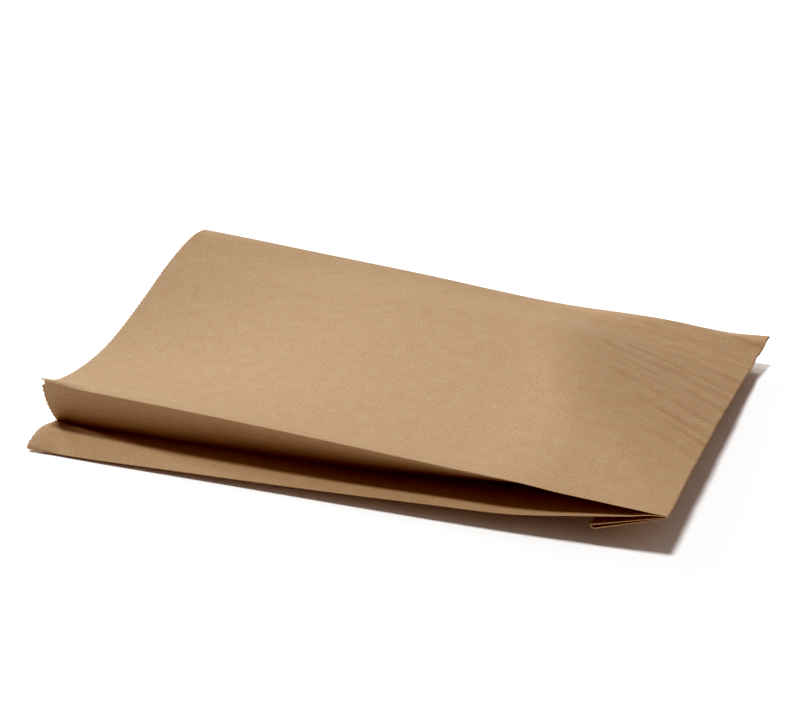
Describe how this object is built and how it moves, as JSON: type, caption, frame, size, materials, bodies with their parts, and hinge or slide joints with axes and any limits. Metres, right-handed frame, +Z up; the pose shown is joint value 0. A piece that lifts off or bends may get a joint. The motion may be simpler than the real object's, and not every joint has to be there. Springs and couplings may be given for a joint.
{
  "type": "wedge paper bag",
  "caption": "Empty kraft paper bag with side gussets, lying flat as a low wedge, its serrated mouth open and its far end pressed flat and folded under",
  "frame": {"origin": "middle of the bag's footprint, on the surface it lies on", "axes": "+X from the open mouth to the folded end, +Y from the front gusset to the back one, +Z up"},
  "size_m": [0.303, 0.2144, 0.0299],
  "materials": {
    "kraft_paper": "unbleached brown kraft paper, matt, with fine mottling of fibres and sparse dark specks"
  },
  "bodies": {
    "root": {"paper_bag": "kraft_paper"}
  },
  "joints": []
}
